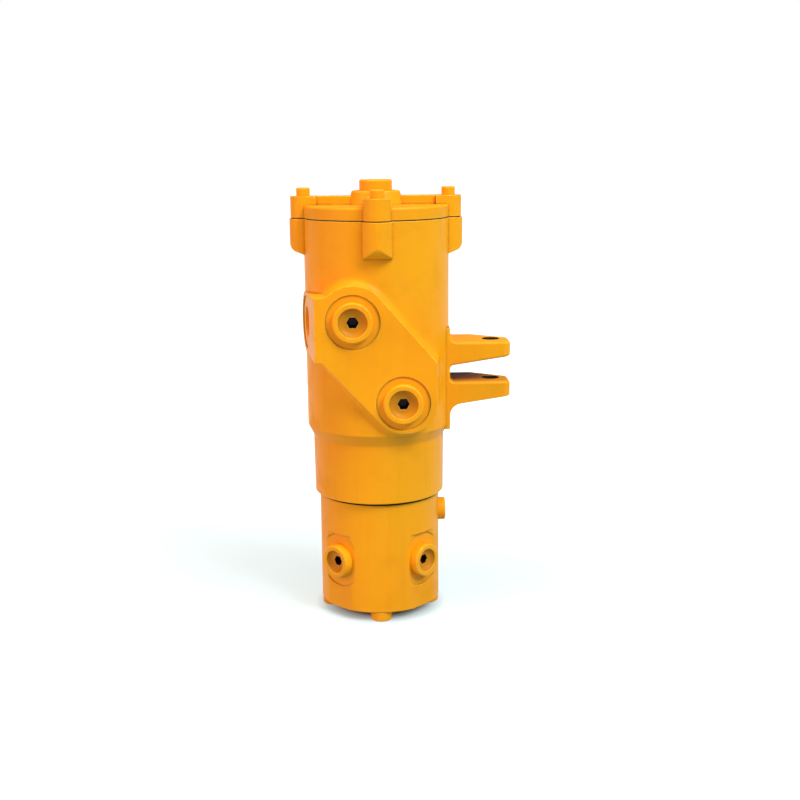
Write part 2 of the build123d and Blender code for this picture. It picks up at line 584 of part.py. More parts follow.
# ---------------------------------------------------------------- cover
def make_cover():
    """Cover with sunk quarters, cross ribs, lugs and a threaded hub."""
    rim_top = cover_floor - cover_bottom
    disc = Pos(0, 0, cover_bottom + rim_top / 2) * Cylinder(body_radius, rim_top)
    disc = fillet(disc.faces().sort_by(Axis.Z)[-1].edges(), COVER_ROUNDING)
    lug = make_lug(0, cover_bottom, rib_top, False)
    rib_height = rib_top - cover_bottom
    rib = Pos(bolt_radius / 2, 0, cover_bottom + rib_height / 2) * Box(bolt_radius, RIB_WIDTH, rib_height)
    for angle in LUG_ANGLES:
        disc += Rot(0, 0, angle) * (lug + rib)
    hub_radius = HUB_DIA / 2
    hub = turned([(0, cover_bottom), (hub_radius + HUB_FLARE, cover_bottom),
                  (hub_radius + HUB_FLARE, cover_floor), (hub_radius, hub_top - ROUNDING),
                  (hub_radius - ROUNDING, hub_top), (0, hub_top)])
    disc += hub
    for angle in LUG_ANGLES:
        disc -= polar(bolt_radius, angle) * Pos(0, 0, JOINT_HEIGHT) * Cylinder(
            COVER_SCREW["thread"] / 2 + THROUGH_CLEARANCE, 3 * CUT_REACH)
    size = PORT_SIZES["centre"]
    disc -= Pos(0, 0, hub_top) * port_cut(size)
    disc -= Pos(0, 0, cover_bottom) * Cylinder(CENTRE_BORE_DIA / 2, 2 * HUB_HEIGHT)
    return disc


def make_gasket():
    """Flat gasket cut to the cover's outline, set a little behind its edge."""
    plan = Circle(body_radius - GASKET_INSET) - Circle(CHAMBER_DIA / 2 + GASKET_BORE_MARGIN)
    half = LUG_WIDTH / 2 - GASKET_INSET
    for angle in LUG_ANGLES:
        plan += polar(bolt_radius, angle) * Circle(half)
        plan += polar(bolt_radius - GASKET_EAR_REACH / 2, angle) * Rectangle(GASKET_EAR_REACH, 2 * half)
    for angle in LUG_ANGLES:
        plan -= polar(bolt_radius, angle) * Circle(COVER_SCREW["thread"] / 2 + THROUGH_CLEARANCE)
    return Pos(0, 0, housing_top) * extrude(plan, GASKET_THICKNESS)


def make_cover_screws():
    """Four cap screws through the cover's lugs."""
    screw = cap_screw(COVER_SCREW, rib_top - housing_top + COVER_SCREW_GRIP)
    return [polar(bolt_radius, angle) * Pos(0, 0, rib_top) * screw for angle in LUG_ANGLES]


# ---------------------------------------------------------------- output
def write(name, shape):
    """Write one node; a list becomes a group of separate solids."""
    shapes = shape if isinstance(shape, list) else [shape]
    solids = [solid for piece in shapes for solid in piece.solids()]
    export_step(solids[0] if len(solids) == 1 else Compound(children=solids), f"parts/{name}.step")


def build():
    """Make every piece and write it to its own file."""
    os.makedirs("parts", exist_ok=True)
    write("stem", make_stem())
    write("thrust_ring", make_thrust_ring())
    write("retaining_plate", make_retaining_plate())
    write("retaining_screws", make_retaining_screws())
    write("base_screws", make_base_screws())
    medium = PORT_SIZES["medium"]
    for name, angle in FOOT_PORT_ANGLES.items():
        seat = face_plane(angle, FLAT_DISTANCE - medium["spot_depth"], 0, FOOT_PORT_HEIGHT)
        write(f"foot_plug_{name}", seat * port_plug(medium))
        write(f"foot_plug_seal_{name}", seat * port_seal(medium))
    small = PORT_SIZES["small"]
    seat = face_plane(0, drain_seat(), 0, DRAIN_PORT_HEIGHT)
    write("drain_plug", seat * port_plug(small))
    write("drain_plug_seal", seat * port_seal(small))

    write("housing", make_housing())
    large = PORT_SIZES["large"]
    for name, port in HOUSING_PORTS.items():
        distance = port["distance"] - large["spot_depth"]
        seat = face_plane(port["angle"], distance, port["offset"], port["height"])
        if name in HEADLESS_PORTS:
            write(f"port_plug_{name}", seat * sunk_plug(large))
            continue
        write(f"port_plug_{name}", seat * port_plug(large))
        write(f"port_plug_seal_{name}", seat * port_seal(large))
    write("upper_thrust_washer", ring(shaft_radius + SEAL_GAP, CHAMBER_DIA / 2 - THRUST_CLEARANCE,
                                      shoulder_height, shoulder_height + WASHER_THICKNESS))
    half = SEAL_WIDTH / 2 - GROOVE_CLEARANCE
    lip = shaft_radius + SEAL_GAP
    write("dust_seal", soft_ring(lip, seal_groove_radius, DUST_SEAL_HEIGHT - half, DUST_SEAL_HEIGHT + half))
    for name, height in (("lower", LOWER_GUIDE_HEIGHT), ("upper", upper_guide_height)):
        reach = GUIDE_WIDTH / 2 - GROOVE_CLEARANCE
        guide = ring(bore_radius, bore_radius + GUIDE_DEPTH, height - reach, height + reach)
        write(f"{name}_guide_ring", guide)
    for index, height in enumerate(seal_heights, start=1):
        write(f"rotary_seal_{index}", ring(lip, ring_split_radius, height - half, height + half))
        energiser = soft_ring(ring_split_radius, seal_groove_radius, height - half, height + half)
        write(f"energiser_{index}", energiser)

    write("cover", make_cover())
    write("cover_gasket", make_gasket())
    write("cover_screws", make_cover_screws())
    centre = PORT_SIZES["centre"]
    write("centre_plug", Pos(0, 0, hub_top) * port_plug(centre))
    write("centre_plug_seal", Pos(0, 0, hub_top) * port_seal(centre))


build()
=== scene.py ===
import json
import math

import bpy
import numpy as np
from bpy.props import FloatProperty, FloatVectorProperty, PointerProperty
from bpy.types import Operator, Panel, PropertyGroup
from mathutils import Matrix, Vector


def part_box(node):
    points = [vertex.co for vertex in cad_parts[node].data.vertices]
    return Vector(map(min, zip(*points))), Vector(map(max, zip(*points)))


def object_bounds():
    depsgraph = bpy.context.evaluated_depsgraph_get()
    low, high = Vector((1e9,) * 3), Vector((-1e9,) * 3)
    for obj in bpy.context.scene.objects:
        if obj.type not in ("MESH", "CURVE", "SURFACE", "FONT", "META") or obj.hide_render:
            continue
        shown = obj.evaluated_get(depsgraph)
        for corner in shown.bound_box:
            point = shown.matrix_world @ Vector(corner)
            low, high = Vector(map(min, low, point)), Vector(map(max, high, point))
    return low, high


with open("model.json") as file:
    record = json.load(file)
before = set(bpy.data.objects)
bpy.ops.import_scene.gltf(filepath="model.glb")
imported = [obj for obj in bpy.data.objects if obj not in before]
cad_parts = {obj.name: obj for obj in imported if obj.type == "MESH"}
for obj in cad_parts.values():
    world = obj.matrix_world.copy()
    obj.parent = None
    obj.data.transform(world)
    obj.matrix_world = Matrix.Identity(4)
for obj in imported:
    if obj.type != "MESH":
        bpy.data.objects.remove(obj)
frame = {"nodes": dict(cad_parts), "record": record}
CAD_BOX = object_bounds()
MOUNTS = {mount["name"]: mount for mount in frame["record"]["mounts"]}
OPENINGS = {opening["name"]: opening for opening in frame["record"]["physics"]["openings"]}

bl_info = {
    "name": "Hydraulic rotary union",
    "version": (1, 0, 0),
    "blender": (4, 5, 0),
    "location": "3D View > Sidebar > Rotary union",
    "description": "Finishes, light and camera for a painted hydraulic rotary union",
    "category": "Object",
}

# Metres, as in the frame
FLOOR_HEIGHT = CAD_BOX[0][2]
FLOOR_HALF = 40.0
HOUSING_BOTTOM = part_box("housing")[0][2]
SWIVEL_GAP = 0.002          # open gap between the foot drum and the housing
SLOT_MARGIN = 0.0014        # the ears' slot is this much wider than its stated opening, each side
ROOT_FADE = 0.001           # length over which the slot's painted shade ends at its root
BORE_MARGIN = 0.0001        # what lies this near to the pin's bore belongs to its wall
FADE = 0.0004               # height over which a face with painted shade fades into enamel
SOCKET_FADE = (0.00003, 0.0008)     # depths below a hollow's mouth where its mask starts and is full

FLOAT = "NodeSocketFloat"
VECTOR = "NodeSocketVector"
GROUPS = {}


def srgb(red, green, blue):
    """Linear colour from 0-255 display values."""
    values = np.array([red, green, blue], dtype=float) / 255.0
    linear = np.where(values <= 0.04045, values / 12.92, ((values + 0.055) / 1.055) ** 2.4)
    return tuple(float(v) for v in linear)


# ---------------------------------------------------------------- settings
def colour(name, description, default):
    """Colour property with the usual range."""
    return FloatVectorProperty(name=name, description=description, default=default,
                               subtype="COLOR", size=3, min=0.0, max=1.0)


def length(name, description, default):
    """Length property in metres."""
    return FloatProperty(name=name, description=description, default=default, min=0.0, precision=5,
                         unit="LENGTH")


def share(name, description, default):
    """Factor from 0 to 1."""
    return FloatProperty(name=name, description=description, default=default, min=0.0, max=1.0,
                         subtype="FACTOR")


def power(name, description, default):
    """Strength of a light, never below zero."""
    return FloatProperty(name=name, description=description, default=default, min=0.0)


def angle(name, description, degrees):
    """Angle property, given in degrees."""
    return FloatProperty(name=name, description=description, default=math.radians(degrees), unit="ROTATION")


class PaintSettings(PropertyGroup):
    """Enamel on the outside, the dirt on it, and the highlights and shade painted on it."""

    casting: colour("Enamel", "Sprayed enamel on castings, drum, plugs and screws", srgb(251, 172, 14))
    # Pale yellow for the painted highlight along convex edges
    edge_highlight: colour("Thin enamel", "Enamel where it drew back from an edge", srgb(255, 222, 84))
    # Dark brown for real oily dust, and for the painted shade in corners and in the plugs' dishes
    soiled_and_shaded: colour("Soiled enamel", "Enamel under oily dust in corners and runs", srgb(112, 46, 8))
    # Near black: bare oily steel darkened to stand in for the shade deep in the wrench sockets
    socket: colour("Wrench socket", "Oily steel down in the wrench sockets", srgb(26, 6, 16))
    # Dark brown painted shade in the ears' slot and the stopper pin's bores
    slot_and_bore_shade: colour("Grease", "Greasy steel in the ears' slot and bores", srgb(58, 50, 40))
    # Near-black painted shade on the faces inside the swivel gap
    gap: colour("Swivel gap", "Greasy faces inside the swivel gap", srgb(14, 9, 8))
    skin: length("Skin depth", "Depth of the sand-cast texture under the enamel", 0.00016)
    edge: length("Edge softness", "Radius over which edges of the castings look rounded", 0.0013)
    # Reach of the painted shade in corners
    crevice: length("Crevice reach", "How far dirt creeps out of a corner", 0.0026)
    roughness: share("Enamel roughness", "Roughness of clean enamel", 0.42)
    # Strength of the painted edge highlight
    highlight_strength: share("Edge wear", "How much the enamel thins on edges", 1.0)
    # Strength of the oily dust and of the painted shade in corners
    dust_and_shade: share("Dirt", "How much oily dust lies in corners", 1.0)
    # Strength of the painted shade in the plugs' dishes
    dish_shade: share("Dish grime", "How much of it lies in the plugs' dishes", 0.42)


class InsideSettings(PropertyGroup):
    """Colours of the gasket, the seals and the rings inside."""

    gasket: colour("Gasket", "Graphited gasket sheet", srgb(16, 14, 12))
    rubber: colour("Rubber", "Nitrile rubber of seals and energisers", srgb(26, 26, 28))
    lip: colour("Seal lip", "Filled plastic of the rotary seals", srgb(24, 92, 58))
    guide: colour("Guide ring", "Fabric-filled resin of the guide rings", srgb(150, 104, 56))
    bronze: colour("Bronze", "Bronze of the thrust ring and washer", srgb(196, 142, 78))
    steel: colour("Steel", "Bare turned steel", srgb(150, 150, 152))


class StageSettings(PropertyGroup):
    """Camera, floor and light."""

    lens: FloatProperty(name="Lens", description="Focal length", default=54.0, min=10.0, unit="CAMERA")
    distance: length("Distance", "Camera to the turning axis, along the floor", 1.174)
    height: length("Height", "Camera above the foot's underside", 0.4518)
    sideways: length("Sideways", "Camera to the right of the turning axis", 0.0217)
    pitch: angle("Pitch", "How far the camera looks down", 12.0)
    yaw: angle("Yaw", "How far the camera stands round to the left", 1.9)
    roll: angle("Roll", "Lean of the camera", -0.5)
    key: power("Key light", "Power of the high soft light on the right", 146.0)
    fill: power("Fill light", "Power of the warm soft light on the left", 50.0)
    top: power("Top light", "Power of the light overhead", 42.0)
    room: power("Room light", "Brightness of the white room", 0.22)
    glow: power("Floor whiteness", "White that the floor near the foot adds to the camera", 0.66)
    floor: colour("Floor", "Pale floor", (0.28, 0.4, 0.45))


class UnionSettings(PropertyGroup):
    """All settings of the scene."""

    paint: PointerProperty(type=PaintSettings)
    inside: PointerProperty(type=InsideSettings)
    stage: PointerProperty(type=StageSettings)


# ---------------------------------------------------------------- node helpers
class Graph:
    """Short way to add nodes and links to one node tree."""

    def __init__(self, tree):
        self.tree = tree
        self.count = 0

    def node(self, kind, label="", **values):
        """New node, with values set on its inputs or, failing that, on the node itself."""
        node = self.tree.nodes.new(kind)
        node.label = label
        node.location = (self.count % 8 * 190, -(self.count // 8) * 260)
        self.count += 1
        for name, value in values.items():
            socket = node.inputs.get(name.replace("_", " ")) if name[0].isupper() else None
            if socket is None:
                setattr(node, name, value)
            else:
                self.feed(socket, value)
        return node

    def feed(self, socket, value):
        """Link or set one input."""
        if isinstance(value, bpy.types.NodeSocket):
            self.tree.links.new(value, socket)
        elif value is not None:
            socket.default_value = value

    def math(self, operation, first, second=None, third=None, clamp=False):
        """One maths step."""
        node = self.node("ShaderNodeMath", operation.title(), operation=operation, use_clamp=clamp)
        for socket, value in zip(node.inputs, (first, second, third)):
            self.feed(socket, value)
        return node.outputs[0]

    def ramp(self, value, low, high):
        """0 at low, 1 at high, straight between."""
        node = self.node("ShaderNodeMapRange", "Ramp", clamp=True)
        for socket, item in zip(node.inputs[:3], (value, low, high)):
            self.feed(socket, item)
        return node.outputs[0]

    def mix(self, factor, first, second):
        """Colour between two colours."""
        node = self.node("ShaderNodeMix", "Blend", data_type="RGBA")
        for index, value in ((0, factor), (6, first), (7, second)):
            self.feed(node.inputs[index], (*value, 1.0) if isinstance(value, tuple) else value)
        return node.outputs[2]

    def noise(self, place, label, scale, detail=3.0, roughness=0.5):
        """Noise over a place, as a value round 0.5."""
        node = self.node("ShaderNodeTexNoise", label, Scale=scale, Detail=detail, Roughness=roughness)
        self.feed(node.inputs["Vector"], place)
        return node.outputs["Fac"]

    def stretched(self, place, label, scale, shift=(0.0, 0.0, 0.0), turn=(0.0, 0.0, 0.0), kind="POINT"):
        """Place moved, turned or stretched before a pattern reads it."""
        node = self.node("ShaderNodeMapping", label, vector_type=kind, Vector=place, Scale=scale,
                         Rotation=turn)
        if kind != "VECTOR":
            node.inputs["Location"].default_value = shift
        return node.outputs[0]

    def group(self, name, **values):
        """Shared effect with its own values."""
        node = self.node("ShaderNodeGroup", name)
        node.node_tree = GROUPS[name]
        for label, value in values.items():
            self.feed(node.inputs[label], value)
        return node.outputs


def new_group(name, inputs, outputs):
    """Empty shader group with named sockets; inputs are (name, kind, default)."""
    tree = bpy.data.node_groups.new(name, "ShaderNodeTree")
    for label, kind, default in inputs:
        socket = tree.interface.new_socket(name=label, in_out="INPUT", socket_type=kind)
        if default is not None:
            socket.default_value = default
    for label, kind in outputs:
        tree.interface.new_socket(name=label, in_out="OUTPUT", socket_type=kind)
    GROUPS[name] = tree
    graph = Graph(tree)
    return graph, graph.node("NodeGroupInput").outputs, graph.node("NodeGroupOutput").inputs


def cast_skin():
    """Sand-cast skin under enamel: fine grain, hand-rammed waves and a few pits, as one height."""
    graph, given, result = new_group(
        "Cast skin", [("Place", VECTOR, None), ("Grain", FLOAT, 0.5), ("Waves", FLOAT, 1.0)],
        [("Height", FLOAT)])
    grain = graph.noise(given["Place"], "Sand grain", 620.0, 4.0, 0.55)
    waves = graph.noise(given["Place"], "Rammed waves", 48.0, 2.0)
    pits = graph.node("ShaderNodeTexVoronoi", "Pits", Vector=given["Place"], Scale=120.0)
    pit = graph.math("MULTIPLY", graph.ramp(pits.outputs["Distance"], 0.17, 0.05), given["Grain"])
    relief = graph.math("ADD", graph.math("MULTIPLY", grain, given["Grain"]),
                        graph.math("MULTIPLY", waves, given["Waves"]))
    graph.feed(result["Height"], graph.math("SUBTRACT", relief, graph.math("MULTIPLY", pit, 0.5)))


def oily_dust():
    """Blotches of oily dust and faint runs down the sides, as a mask."""
    graph, given, result = new_group("Oily dust", [("Place", VECTOR, None)], [("Mask", FLOAT)])
    blotch = graph.ramp(graph.noise(given["Place"], "Blotches", 30.0, 6.0, 0.65), 0.52, 0.75)
    drawn = graph.stretched(given["Place"], "Drawn down", (95.0, 95.0, 8.0))
    runs = graph.ramp(graph.noise(drawn, "Runs", 1.0, 3.0), 0.56, 0.8)
    graph.feed(result["Mask"], graph.math("ADD", blotch, graph.math("MULTIPLY", runs, 0.6), clamp=True))


def painted_edges_and_corners():
    """Convex edges that get a painted highlight, and corners that get painted shade, as two masks and a
    softened normal.
    """
    graph, given, result = new_group(
        "Painted edges and corners", [("Place", VECTOR, None), ("Edge", FLOAT, 0.001), ("Crevice", FLOAT, 0.003)],
        [("Edges", FLOAT), ("Painted shade", FLOAT), ("Normal", VECTOR)])
    rounded = graph.node("ShaderNodeBevel", "Rounded", samples=6, Radius=given["Edge"])
    face = graph.node("ShaderNodeNewGeometry")
    turn = graph.node("ShaderNodeVectorMath", "Turn", operation="DOT_PRODUCT")
    graph.feed(turn.inputs[0], rounded.outputs[0])
    graph.feed(turn.inputs[1], face.outputs["Normal"])
    bend = graph.ramp(turn.outputs["Value"], 0.995, 0.9)
    shade = graph.node("ShaderNodeAmbientOcclusion", "Shelter", samples=6, only_local=True,
                       Distance=given["Crevice"])
    shelter = graph.ramp(shade.outputs["AO"], 0.92, 0.45)
    patchy = graph.ramp(graph.noise(given["Place"], "Patchy", 210.0, 4.0), 0.3, 0.62)
    # Painted highlight: convex edges away from corners, in patches
    open_edge = graph.math("MULTIPLY", bend, graph.math("SUBTRACT", 1.0, shelter, clamp=True))
    graph.feed(result["Edges"], graph.math("MULTIPLY", open_edge, patchy))
    # Painted shade: darker where the ambient occlusion finds a corner
    graph.feed(result["Painted shade"], graph.math("MULTIPLY", shelter, graph.ramp(patchy, -0.8, 1.0)))
    graph.feed(result["Normal"], rounded.outputs[0])


def wrench_socket():
    """Inside of a round hollow whose axis is Z, such as a wrench socket: near the axis, below the mouth."""
    graph, given, result = new_group(
        "Wrench socket", [("Place", VECTOR, None), ("Radius", FLOAT, 0.006), ("Mouth", FLOAT, 0.0)],
        [("Mask", FLOAT)])
    parts = graph.node("ShaderNodeSeparateXYZ", Vector=given["Place"]).outputs
    across = graph.math("SQRT", graph.math("ADD", graph.math("MULTIPLY", parts[0], parts[0]),
                                           graph.math("MULTIPLY", parts[1], parts[1])))
    near = graph.math("LESS_THAN", across, given["Radius"])
    depth = graph.math("SUBTRACT", given["Mouth"], parts[2])
    graph.feed(result["Mask"], graph.math("MULTIPLY", near, graph.ramp(depth, *SOCKET_FADE)))


# ---------------------------------------------------------------- finishes
def finish(name, **constants):
    """New material with a Principled shader; gives the material, its graph, shader and Object place."""
    material = bpy.data.materials.new(name)
    material.use_nodes = True
    material.node_tree.nodes.clear()
    graph = Graph(material.node_tree)
    shader = graph.node("ShaderNodeBsdfPrincipled", name, **constants)
    graph.node("ShaderNodeOutputMaterial", Surface=shader.outputs[0])
    return material, graph, shader.inputs, graph.node("ShaderNodeTexCoord").outputs["Object"]


DRIFT = (0.97, 0.86, 0.7)   # where the enamel lies thick it is this much deeper, per channel
DUST_TINT = 0.09            # how much blotches and runs colour the enamel
DUST_DULL = 0.18            # how much rougher they make it
CREVICE_DULL = 0.2          # how much rougher the enamel is where corners get painted shade


def enamel(name, paint, grain=0.5, waves=1.0, dark=None):
    """Sprayed enamel: drifting colour, oily dust, painted highlights on edges, painted shade in corners,
    cast skin;
    dark(graph, place) gives (mask, colour) pairs to lay over it."""
    material, graph, shader, place = finish(name, Specular_IOR_Level=0.2)
    base = tuple(paint.casting)
    lean = tuple(channel * factor for channel, factor in zip(base, DRIFT))
    drift = graph.ramp(graph.noise(place, "Colour drift", 12.0), 0.35, 0.72)
    corners = graph.group("Painted edges and corners", Place=place, Edge=paint.edge, Crevice=paint.crevice)
    dust = graph.group("Oily dust", Place=place)["Mask"]
    tint = graph.mix(drift, base, lean)
    tint = graph.mix(graph.math("MULTIPLY", dust, DUST_TINT * paint.dust_and_shade), tint, tuple(paint.soiled_and_shaded))
    # Painted shade: corners darkened towards the dark brown
    tint = graph.mix(graph.math("MULTIPLY", corners["Painted shade"], paint.dust_and_shade), tint, tuple(paint.soiled_and_shaded))
    # Painted highlight: convex edges turned pale yellow
    tint = graph.mix(graph.math("MULTIPLY", corners["Edges"], paint.highlight_strength), tint, tuple(paint.edge_highlight))
    rough = graph.math("ADD", graph.math("MULTIPLY", dust, DUST_DULL), paint.roughness)
    rough = graph.math("ADD", graph.math("MULTIPLY", corners["Painted shade"], CREVICE_DULL), rough)
    for mask, shade in dark(graph, place) if dark else ():
        tint = graph.mix(mask, tint, tuple(shade))
    graph.feed(shader["Base Color"], tint)
    graph.feed(shader["Roughness"], rough)
    height = graph.group("Cast skin", Place=place, Grain=grain, Waves=waves)["Height"]
    bump = graph.node("ShaderNodeBump", "Skin", Distance=paint.skin, Height=height,
                      Normal=corners["Normal"])
    graph.feed(shader["Normal"], bump.outputs[0])
    return material


TURNED_ROUGHNESS = 0.28     # of clean turned metal
TOOL_MARK_DEPTH = 0.00002
OIL_SHADE = 0.62            # colour of oiled metal as a share of clean metal's
OIL_DULL = 0.18             # how much rougher oil makes it


def turned_metal(name, base):
    """Bare turned metal: rings of tool marks round Z and thin oil stains."""
    material, graph, shader, place = finish(name, Metallic=1.0)
    marks = graph.noise(graph.stretched(place, "Tool marks", (25.0, 25.0, 2600.0)), "Marks", 1.0, 2.0)
    stain = graph.ramp(graph.noise(place, "Oil stain", 42.0, 5.0), 0.45, 0.72)
    oiled = tuple(channel * OIL_SHADE for channel in base)
    graph.feed(shader["Base Color"], graph.mix(stain, tuple(base), oiled))
    graph.feed(shader["Roughness"],
               graph.math("ADD", graph.math("MULTIPLY", stain, OIL_DULL), TURNED_ROUGHNESS))
    bump = graph.node("ShaderNodeBump", "Tool marks", Distance=TOOL_MARK_DEPTH, Height=marks)
    graph.feed(shader["Normal"], bump.outputs[0])
    return material


MOULDED_GRAIN_DEPTH = 0.00003
BLOOM_GAIN = 1.5            # a bloom is this many times paler than the material, and
BLOOM_LIFT = 0.008          # this much paler on top
BLOOM_DULL = 0.15           # how much rougher it makes it


def moulded(name, base, roughness, grain_scale=900.0):
    """Rubber, plastic or gasket sheet: moulded grain and a pale bloom in patches."""
    material, graph, shader, place = finish(name)
    grain = graph.noise(place, "Moulded grain", grain_scale, 3.0)
    bloom = graph.ramp(graph.noise(place, "Bloom", 64.0, 4.0), 0.45, 0.78)
    pale = tuple(min(1.0, channel * BLOOM_GAIN + BLOOM_LIFT) for channel in base)
    graph.feed(shader["Base Color"], graph.mix(bloom, tuple(base), pale))
    graph.feed(shader["Roughness"], graph.math("ADD", graph.math("MULTIPLY", bloom, BLOOM_DULL), roughness))
    bump = graph.node("ShaderNodeBump", "Grain", Distance=MOULDED_GRAIN_DEPTH, Height=grain)
    graph.feed(shader["Normal"], bump.outputs[0])
    return material


def dress(node, material):
    """Give a CAD node one material."""
    thing = frame["nodes"][node]
    thing.data.materials.clear()
    thing.data.materials.append(material)


# ---------------------------------------------------------------- operators
class UNION_OT_effects(Operator):
    """Build the effects that several finishes share"""

    bl_idname = "union.effects"
    bl_label = "Shared effects"

    def execute(self, context):
        cast_skin()
        oily_dust()
        painted_edges_and_corners()
        wrench_socket()
        return {"FINISHED"}


class UNION_OT_castings(Operator):
    """Paint the housing and the cover"""

    bl_idname = "union.castings"
    bl_label = "Castings"

    def execute(self, context):
        paint = context.scene.union_settings.paint
        pin = MOUNTS["stopper_clevis"]
        pin_radius, pin_length = (pin["dims"][name] / 1000 for name in ("r_mm", "length_mm"))
        low, high = (Vector(corner) for corner in OPENINGS["clevis_slot"]["box_m"])

        def shaded_faces(graph, place):
            """Painted shade: the end face above the swivel gap, the walls of the ears' slot and the bores
            of the stopper pin.
            """
            x, y, z = graph.node("ShaderNodeSeparateXYZ", Vector=place).outputs
            # Painted shade: the housing's end face over the gap goes near black
            gap = graph.ramp(z, HOUSING_BOTTOM + FADE, HOUSING_BOTTOM + FADE / 4)
            slot = graph.math("COMPARE", z, (low.z + high.z) / 2, (high.z - low.z) / 2 + SLOT_MARGIN)
            for fade in (graph.ramp(x, high.x, low.x), graph.ramp(x, low.x - ROOT_FADE, low.x),
                         graph.ramp(y, low.y, high.y / 2)):
                slot = graph.math("MULTIPLY", slot, fade)
            local = graph.stretched(place, "Round the pin", (1.0, 1.0, 1.0), tuple(pin["pos_m"]),
                                    kind="TEXTURE")
            bore = graph.group("Wrench socket", Place=local, Radius=pin_radius + BORE_MARGIN,
                               Mouth=pin_length)["Mask"]
            # Slot and bores get dark painted shade, the face over the gap near-black painted shade
            return [(slot, paint.slot_and_bore_shade), (bore, paint.slot_and_bore_shade), (gap, paint.gap)]

        dress("housing", enamel("Housing enamel", paint, dark=shaded_faces))
        dress("cover", enamel("Cover enamel", paint, 0.6, 1.0))
        return {"FINISHED"}


class UNION_OT_drum(Operator):
    """Paint the foot drum; its top face inside the gap gets near-black painted shade"""

    bl_idname = "union.drum"
    bl_label = "Foot drum"

    def execute(self, context):
        paint = context.scene.union_settings.paint
        drum_top = HOUSING_BOTTOM - SWIVEL_GAP

        def gap_face(graph, place):
            """Everything above the drum's rim, which gets near-black painted shade."""
            height = graph.node("ShaderNodeSeparateXYZ", Vector=place).outputs[2]
            return [(graph.ramp(height, drum_top - FADE * 1.5, drum_top - FADE / 2), paint.gap)]

        dress("stem", enamel("Drum enamel", paint, 0.25, 0.5, dark=gap_face))
        return {"FINISHED"}


# Radius round the hexagon, height of the dish's floor, radius of the dish, height of the collar's top;
# heights are above the port's face
SOCKETS = {
    "large": (0.0060, 0.0020, 0.0140, 0.0070),
    "headless": (0.0060, -0.0030, 0.0060, -0.0030),
    "medium": (0.0054, 0.0036, 0.0115, 0.0086),
    "small": (0.0048, 0.0050, 0.0075, 0.0080),
    "centre": (0.0072, 0.0064, 0.0115, 0.0104)}


def plug_ports():
    """(plug, its port's mount, kind of plug) for every plug."""
    for node in sorted(frame["nodes"]):
        if "plug" not in node or "seal" in node:
            continue
        if node.startswith("port_plug_"):
            kind = "headless" if node.endswith("left") else "large"
            yield node, MOUNTS[node.replace("port_plug_", "port_")], kind
        elif node.startswith("foot_plug_"):
            yield node, MOUNTS[node.replace("foot_plug_", "port_foot_")], "medium"
        elif node == "drain_plug":
            yield node, MOUNTS["port_drain"], "small"
        else:
            yield node, MOUNTS["port_cover"], "centre"


class UNION_OT_plugs(Operator):
    """Paint the plugs, with painted shade in their dishes and their wrench sockets painted near black, oily
    steel darkened as shade
    """

    bl_idname = "union.plugs"
    bl_label = "Plugs"

    def execute(self, context):
        paint = context.scene.union_settings.paint
        for node, mount, kind in plug_ports():
            turn = Vector(mount["axis"]).to_track_quat("Z", "Y").to_euler()

            def socket(graph, place, seat=tuple(mount["pos_m"]), turn=tuple(turn), sizes=SOCKETS[kind]):
                """Painted shade in the plug's dish, and the wrench socket painted near black as oily steel
                in shade, seen along the plug's own axis.
                """
                hexagon, floor, dish, rim = sizes
                local = graph.stretched(place, "Along the plug", (1.0, 1.0, 1.0), seat, turn, "TEXTURE")
                dish_shade = graph.group("Wrench socket", Place=local, Radius=dish, Mouth=rim)["Mask"]
                mask = graph.group("Wrench socket", Place=local, Radius=hexagon, Mouth=floor)["Mask"]
                # Dish gets dark brown painted shade, socket near-black painted shade over oily steel
                return [(graph.math("MULTIPLY", dish_shade, paint.dish_shade), paint.soiled_and_shaded), (mask, paint.socket)]

            dress(node, enamel(f"Enamel on {node}", paint, 0.2, 0.4, dark=socket))
        return {"FINISHED"}


# Radius round the hexagon, radius of the head, and 1 where the heads face up or -1 where they face down
SCREWS = {"cover_screws": (0.0038, 0.0065, 1.0), "base_screws": (0.0061, 0.01075, -1.0)}


class UNION_OT_screws(Operator):
    """Paint the cover and base screws, with sockets painted near black as oily steel in shade"""

    bl_idname = "union.screws"
    bl_label = "Screws"

    def execute(self, context):
        paint = context.scene.union_settings.paint
        for node, (radius, head, sign) in SCREWS.items():
            low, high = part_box(node)
            mouth = high[2] if sign > 0 else -low[2]
            circle = (high[0] - low[0]) / 2 - head

            def sockets(graph, place, radius=radius, sign=sign, mouth=mouth, circle=circle):
                """All four sockets at once: the place is folded onto the screw on the +X side."""
                x, y, z = graph.node("ShaderNodeSeparateXYZ", Vector=place).outputs
                wide = graph.math("ABSOLUTE", x)
                deep = graph.math("ABSOLUTE", y)
                out = graph.math("SUBTRACT", graph.math("MAXIMUM", wide, deep), circle)
                side = graph.math("MINIMUM", wide, deep)
                local = graph.node("ShaderNodeCombineXYZ", "Folded", X=out, Y=side,
                                   Z=graph.math("MULTIPLY", z, sign))
                mask = graph.group("Wrench socket", Place=local.outputs[0], Radius=radius, Mouth=mouth)
                # Socket painted near black: oily steel and the shade deep in it
                return [(mask["Mask"], paint.socket)]

            dress(node, enamel(f"Enamel on {node}", paint, 0.15, 0.3, dark=sockets))
        return {"FINISHED"}


